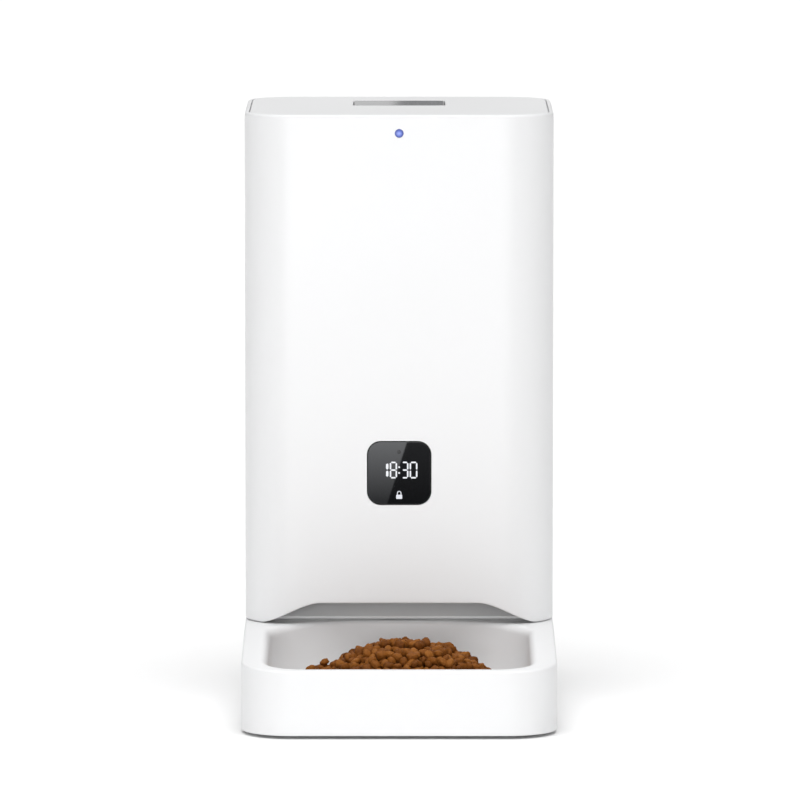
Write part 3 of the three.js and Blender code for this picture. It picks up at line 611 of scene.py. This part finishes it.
def wall_height(x, y, down):
    """Height in the bowl, from the end of its lip (down = 0) to its floor (down = 1)."""
    top = rim(x, y) - soften(x)
    return top + (BOWL_FLOOR - top) * down


def bowl_side(inset, drop, steps):
    """The bowl's wall from its top down to its floor, moved in by an inset and down by a drop."""
    rings = []
    for i in range(steps + 1):
        a = math.pi / 2 * i / steps
        points = bowl_outline(BOWL_ROUND * (1 - math.cos(a)) + inset)
        rings.append([(x, y, wall_height(x, y, math.sin(a)) - drop * math.sin(a)) for x, y in points])
    return rings


def tray_underside():
    """From the middle of the bowl's underside out and down to the inner edge of the skirt."""
    back = SPLIT - SKIRT - 0.1
    rings = [ring(bowl_outline(BOWL_ROUND + 3), BOWL_FLOOR - BOWL_WALL)]
    for points in bowl_side(-BOWL_WALL, BOWL_WALL, 8)[::-1]:
        rings.append([(x, min(y, back), min(z, rim(x, y) - SKIRT)) for x, y, z in points])
    rings.append([(x, y, rim(x, y) - SKIRT) for x, y, _ in rings[-1]])
    rings.append(ring(tray_outline(SKIRT), lambda x, y: rim(x, y) - SKIRT))
    rings.append(ring(tray_outline(SKIRT), BASE_Z))
    return rings


def bowl_tray():
    """Skirt, rims and bowl in one thin moulding, with the two tongues that hold it to the base."""
    edge, land = 1.3, 2.2
    rings = tray_underside()
    for inset, up in ((0.4, 0.0), (0.1, 0.1), (0.0, 0.4), (0.0, 3.0), (0.0, 18.0), (0.0, 32.0)):
        rings.append(ring(tray_outline(inset), BASE_Z + up))
    rings.append(ring(tray_outline(), lambda x, y: rim(x, y) - edge - 1))
    for inset, drop in fillet(edge, 6):
        rings.append(ring(tray_outline(inset), lambda x, y, d=drop: rim(x, y) - d))
    lip = bowl_outline()
    outer, start = tray_outline(land), grown(lip, soften)
    for t in (0.0, 0.25, 0.5, 0.75, 1.0):
        land_ring = [(a[0] + (b[0] - a[0]) * t, a[1] + (b[1] - a[1]) * t) for a, b in zip(outer, start)]
        rings.append(ring(land_ring, rim))
    for i in range(1, 6):
        a = math.pi / 2 * i / 6
        points = grown(lip, lambda x, a=a: soften(x) * (1 - math.sin(a)))
        rings.append([(x, y, rim(x, y) - soften(x) * (1 - math.cos(a))) for x, y in points])
    rings += bowl_side(0.0, 0.0, 14)
    rings.append(ring(bowl_outline(BOWL_ROUND + 6), BOWL_FLOOR))
    tray = make("bowl_moulding", skinned(rings), "tray", "white_shell", ["bowl_tray"])
    for x in (-TONGUE_X, TONGUE_X):
        carve(tray, prism(outline(x - 10, x + 10, SPLIT - 2, SPLIT + 18, 1.5), 20, 24), "UNION")
    even_shading(tray)


# ---------------------------------------------------------------- base
def rear_base():
    """The base's skirt and top, with ribs and screw bosses inside, and its holes."""
    edge, top = 0.9, SEAM
    ribs, boss_x, boss_y = (52, 124.5), (-78, 78), (42, 108)
    cable_hole, socket_hole = circle(6, -45, 132), circle(5.5, 60, 25)
    rings = [ring(base_outline(SKIRT), top - SKIRT), ring(base_outline(SKIRT), BASE_Z)]
    for inset, up in ((0.4, 0.0), (0.1, 0.1), (0.0, 0.4), (0.0, 3.0), (0.0, 24.0)):
        rings.append(ring(base_outline(inset), BASE_Z + up))
    rings.append(ring(base_outline(), top - edge - 1))
    rings += [ring(base_outline(i, 0.0), top - d) for i, d in fillet(edge, 5)]
    rings.append(ring(base_outline(SKIRT + 2, SKIRT), top))
    base = make("base_moulding", skinned(rings), "housing", "white_shell", ["rear_base"])
    for y in ribs:
        carve(base, prism(outline(-56, 56, y, y + 2.5, 0.4), BASE_Z + 4.4, top - 2), "UNION")
    for x in boss_x:
        for y in boss_y:
            carve(base, prism(circle(4.5, x, y), BASE_Z + 4.4, top - 2), "UNION")
            carve(base, prism(circle(1.8, x, y, 24), BASE_Z, 22))
    for x in (-TONGUE_X, TONGUE_X):
        carve(base, prism(outline(x - 10.6, x + 10.6, SPLIT - 1, SPLIT + 4, 0.3), 19.4, 24.6))
    carve(base, prism(cable_hole, top - 5, top + 1))
    carve(base, prism(socket_hole, BACK - 5, BACK + 1, "y"))
    even_shading(base)


def feet():
    """Soft pads with a rounded lower edge and a shallow dish, one for each foot."""
    pads = [(f"foot_{i}", "housing") for i in (1, 2, 3, 4)] + [(f"tray_foot_{i}", "tray") for i in (1, 2)]
    for name, body in pads:
        low, high = span(name)
        x, y, r, h = (low[0] + high[0]) / 2, (low[1] + high[1]) / 2, (high[0] - low[0]) / 2, high[2]
        profile = [(0.0001, 0.25), (r * 0.5, 0.2), (r * 0.6, 0.0), (r - 0.6, 0.0), (r - 0.15, 0.2)]
        profile += [(r, 0.6), (r, h), (0.0001, h)]
        make(f"rubber_{name}", turned(profile, (x, y, 0)), body, "rubber_foot", [name])


def batteries():
    """Three cells, each with a rounded jacket and a raised end."""
    for i in (1, 2, 3):
        low, high = span(f"battery_{i}")
        x, z, r = (low[0] + high[0]) / 2, (low[2] + high[2]) / 2, (high[0] - low[0]) / 2
        length = high[1] - low[1] - 1.6
        profile = [(0.0001, 0.0), (r - 2.5, 0.0), (r - 2, 0.5), (r - 0.9, 0.1), (r, 1.0), (r, length - 1.0)]
        profile += [(r - 0.9, length - 0.1), (r - 2, length - 0.6), (4.5, length - 0.4), (4.5, length + 1.2)]
        profile += [(4.0, length + 1.6), (0.0001, length + 1.6)]
        make(f"cell_{i}", turned(profile, (x, low[1], z), "y"), "housing", "cell_jacket", [f"battery_{i}"])


# ---------------------------------------------------------------- food
HEAP = {"x": 4.4, "y": -80.0, "top": 51.2, "fall": 19.5, "reach": 51.0}
# A few loose pellets beside the heap.
STRAY_X, STRAY_TOP, STRAY_SPREAD = -47, 39.5, 12
PELLET = 2.95
# The packing: spacing, rise of each layer, number of layers, and cells either side of the middle.
STEP, RISE, LAYERS, ACROSS, ALONG = 5.2, 4.1, 12, 15, 16
# Pellet centres lie between these depths below the heap's surface.
SHALLOWEST, DEEPEST = 2.5, 11.0
ROOM = 4.2


def heap_height(x, y):
    r = math.hypot(x - HEAP["x"], y - HEAP["y"])
    stray = STRAY_TOP - ((x - STRAY_X) ** 2 + (y - HEAP["y"]) ** 2) / STRAY_SPREAD
    return max(stray, HEAP["top"] - HEAP["fall"] * (r / HEAP["reach"]) ** 2.5)


def ball():
    """Points and faces of one fine sphere, which every pellet is shaped from."""
    bm = bmesh.new()
    bmesh.ops.create_icosphere(bm, subdivisions=3, radius=1.0)
    pillow = [Vector(math.copysign(abs(c) ** 0.8, c) for c in v.co) for v in bm.verts]
    shape = pillow, [[v.index for v in f.verts] for f in bm.faces]
    bm.free()
    return shape


def pellet(points, centre, rng):
    """One lumpy extruded pellet."""
    angle = rng.uniform(0, 6.28)
    turn = Matrix.Rotation(angle, 4, Vector((rng.gauss(0, 1), rng.gauss(0, 1), rng.gauss(0, 1))))
    size = PELLET * rng.uniform(0.82, 1.12)
    stretch = Vector((1.08, rng.uniform(0.82, 1.0), rng.uniform(0.62, 0.84))) * size
    seed = Vector((rng.uniform(0, 90), rng.uniform(0, 90), rng.uniform(0, 90)))
    out = []
    for p in points:
        lump = 1 + 0.16 * noise.noise(p * 1.3 + seed) + 0.13 * noise.noise(p * 3.0 + seed)
        lump += 0.07 * noise.noise(p * 7.0 + seed)
        out.append(turn @ Vector((p.x * stretch.x, p.y * stretch.y, p.z * stretch.z)) * lump + centre)
    return out


def kibble():
    """A heap in the bowl: pellets on a jittered close packing, only its upper layers."""
    rng = random.Random(7)
    points, faces = ball()
    verts, polys, tints = [], [], []
    for k in range(LAYERS):
        for i in range(-ACROSS, ACROSS + 1):
            for j in range(-ALONG, ALONG + 1):
                x = HEAP["x"] + (i + 0.5 * (j % 2) + 0.33 * (k % 3)) * STEP + rng.uniform(-1.5, 1.5)
                y = HEAP["y"] + (j + 0.58 * (k % 3)) * STEP * 0.87 + rng.uniform(-1.5, 1.5)
                z = BOWL_FLOOR + 3.5 + k * RISE + rng.uniform(-1.1, 1.1)
                tint = rng.uniform(0.0, 0.5)
                depth = heap_height(x, y) - z
                if not in_bowl(x, y, z, ROOM) or depth < SHALLOWEST or depth > DEEPEST:
                    continue
                first = len(verts)
                verts += pellet(points, Vector((x, y, z)), rng)
                polys += [[first + v for v in f] for f in faces]
                tints += [tint] * len(points)
    mesh = bpy.data.meshes.new("kibble_heap")
    mesh.from_pydata([v * MM for v in verts], [], polys)
    mesh.attributes.new("tint", "FLOAT", "POINT").data.foreach_set("value", tints)
    mesh.polygons.foreach_set("use_smooth", [True] * len(mesh.polygons))
    mesh.materials.append(finish("kibble"))
    obj = bpy.data.objects.new("kibble_heap", mesh)
    bpy.context.scene.collection.objects.link(obj)
    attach(obj, "tray")


def in_bowl(x, y, z, room):
    """Whether a point keeps its room to the bowl's wall and floor."""
    depth = min(1.0, max(0.0, (rim(x, y) - z) / (rim(x, y) - BOWL_FLOOR)))
    inset = BOWL_ROUND * (1 - math.sqrt(max(0.0, 1 - depth * depth))) + room
    across, along = abs(x) < BOWL_HALF - inset, BOWL_FRONT + inset < y < BOWL_BACK - 14 - inset
    return across and along and z > BOWL_FLOOR + 3


# ---------------------------------------------------------------- stage, light and camera
FLOOR_HALF = 20
# The surround: an even level, and broad lobes (direction, power, amount) behind, above and in front.
AMBIENT = 0.06
LOBES = [((0.0, 0.94, 0.06), 3.0, 0.50), ((0.0, 0.0, 1.0), 2.0, 0.50), ((-0.1, -0.7, 0.7), 2.0, 0.32)]
# One soft light overhead, leaning a little to the front.
OVERHEAD, OVERHEAD_TILT, OVERHEAD_ANGLE = 0.62, 8, 60
# One softbox in front.
SOFTBOX, SOFTBOX_WIDE, SOFTBOX_TALL = 10.0, 1.0, 0.40
SOFTBOX_PLACE, SOFTBOX_AIM = (-0.15, -2.0, 0.24), (0.0, -0.1, 0.12)
# Distances in front of the object between which a card fades from one brightness to another.
FADE_NEAR, FADE_FAR = -1.0, -1.42
LENS, SENSOR_WIDTH, PITCH = 350.6, 36, 6.309
CAMERA_PLACE = (0.0005, -4.760, 0.714)


def floor():
    bm = bmesh.new()
    for x, y in ((-1, -1), (1, -1), (1, 1), (-1, 1)):
        bm.verts.new((x * FLOOR_HALF, y * FLOOR_HALF, 0))
    bm.faces.new(bm.verts)
    mesh = bpy.data.meshes.new("floor")
    bm.to_mesh(mesh)
    bm.free()
    obj = bpy.data.objects.new("floor", mesh)
    bpy.context.scene.collection.objects.link(obj)
    material = surface("pale_floor", (0.96, 0.96, 0.96), 0.9, drift=0.003, bump=0.0)
    shader = material.node_tree.nodes["Principled BSDF"]
    shader.inputs["Specular IOR Level"].default_value = 0.0
    mesh.materials.append(material)


def sky():
    """A white surround, a little brighter behind, above and in front."""
    world = bpy.data.worlds.new("studio")
    bpy.context.scene.world = world
    world.use_nodes = True
    nodes, links = world.node_tree.nodes, world.node_tree.links
    background = nodes["Background"]
    where = nodes.new("ShaderNodeTexCoord")
    total = None
    for direction, power, amount in LOBES:
        dot = nodes.new("ShaderNodeVectorMath")
        dot.operation = "DOT_PRODUCT"
        dot.inputs[1].default_value = Vector(direction).normalized()
        links.new(where.outputs["Generated"], dot.inputs[0])
        positive = nodes.new("ShaderNodeMath")
        positive.operation = "MAXIMUM"
        positive.inputs[1].default_value = 0.0
        links.new(dot.outputs["Value"], positive.inputs[0])
        sharp = nodes.new("ShaderNodeMath")
        sharp.operation = "POWER"
        sharp.inputs[1].default_value = power
        links.new(positive.outputs["Value"], sharp.inputs[0])
        add = nodes.new("ShaderNodeMath")
        add.operation = "MULTIPLY_ADD"
        add.inputs[1].default_value = amount
        links.new(sharp.outputs["Value"], add.inputs[0])
        if total:
            links.new(total, add.inputs[2])
        else:
            add.inputs[2].default_value = AMBIENT
        total = add.outputs["Value"]
    clip = nodes.new("ShaderNodeMath")
    clip.operation = "MAXIMUM"
    clip.inputs[1].default_value = 0.0
    links.new(total, clip.inputs[0])
    links.new(clip.outputs["Value"], background.inputs["Strength"])
    background.inputs["Color"].default_value = (1.0, 1.0, 1.0, 1)


def overhead():
    data = bpy.data.lights.new("overhead", "SUN")
    data.energy, data.angle = OVERHEAD * math.pi, math.radians(OVERHEAD_ANGLE)
    obj = bpy.data.objects.new("overhead", data)
    obj.rotation_euler = (math.radians(OVERHEAD_TILT), 0, 0)
    bpy.context.scene.collection.objects.link(obj)


def card(name, corners, near, far=None):
    """A card that only reflections see, and that lights nothing else. It may fade from near to far."""
    mesh = bpy.data.meshes.new(name)
    mesh.from_pydata(corners, [], [(0, 1, 2, 3)])
    obj = bpy.data.objects.new(name, mesh)
    bpy.context.scene.collection.objects.link(obj)
    material = bpy.data.materials.new(name)
    nodes, links, shader = nodes_of(material)
    shader.inputs["Base Color"].default_value = (0.0, 0.0, 0.0, 1)
    shader.inputs["Specular IOR Level"].default_value = 0.0
    shader.inputs["Emission Color"].default_value = (0.95, 0.97, 1.0, 1)
    shader.inputs["Emission Strength"].default_value = near
    if far is not None:
        split = nodes.new("ShaderNodeSeparateXYZ")
        links.new(nodes.new("ShaderNodeTexCoord").outputs["Object"], split.inputs["Vector"])
        ramp = nodes.new("ShaderNodeMapRange")
        fade = (("From Min", FADE_NEAR), ("From Max", FADE_FAR), ("To Min", near), ("To Max", far))
        for label, value in fade:
            ramp.inputs[label].default_value = value
        links.new(split.outputs["Y"], ramp.inputs["Value"])
        links.new(ramp.outputs["Result"], shader.inputs["Emission Strength"])
    mesh.materials.append(material)
    obj.visible_camera = obj.visible_diffuse = obj.visible_shadow = False


def softbox():
    """One large soft light in front of the object and a little to the left."""
    data = bpy.data.lights.new("softbox", "AREA")
    data.shape, data.size, data.size_y = "RECTANGLE", SOFTBOX_WIDE, SOFTBOX_TALL
    data.energy = SOFTBOX
    obj = bpy.data.objects.new("softbox", data)
    obj.location = SOFTBOX_PLACE
    towards = Vector(SOFTBOX_AIM) - Vector(SOFTBOX_PLACE)
    obj.rotation_euler = towards.to_track_quat("-Z", "Y").to_euler()
    obj.visible_camera = False
    bpy.context.scene.collection.objects.link(obj)


def reflection_cards():
    """What the polished window and button mirror: a slanted bright edge, and a dark card behind."""
    near, far, z, side = -0.9, -1.52, 0.004, 0.2
    edge_near, edge_far = -0.0120, 0.0111
    left = [(-side, near, z), (edge_near, near, z), (edge_far, far, z), (-side, far, z)]
    right = [(edge_near, near, z), (side, near, z), (side, far, z), (edge_far, far, z)]
    card("window_sheen", left, 0.60, 3.7)
    card("window_dark", right, 0.10, 0.38)
    behind, low, high = 2.0, 0.46, 0.56
    slanted = [(0.004, behind, low), (0.09, behind, low), (0.09, behind, high), (-0.012, behind, high)]
    card("button_dark", slanted, 0.09)


def camera():
    data = bpy.data.cameras.new("camera")
    data.lens, data.sensor_width = LENS, SENSOR_WIDTH
    data.clip_end = 100
    obj = bpy.data.objects.new("camera", data)
    bpy.context.scene.collection.objects.link(obj)
    obj.location = CAMERA_PLACE
    obj.rotation_euler = (math.radians(90 - PITCH), 0, 0)
    bpy.context.scene.camera = obj


camera()
sky()
overhead()
softbox()
reflection_cards()
floor()
dress_cad_nodes()
housing_shell()
display()
status_light()
food_bin()
lid()
lid_button()
bowl_tray()
rear_base()
feet()
batteries()
kibble()
bpy.context.scene.view_settings.view_transform = "Standard"

bpy.context.view_layer.update()
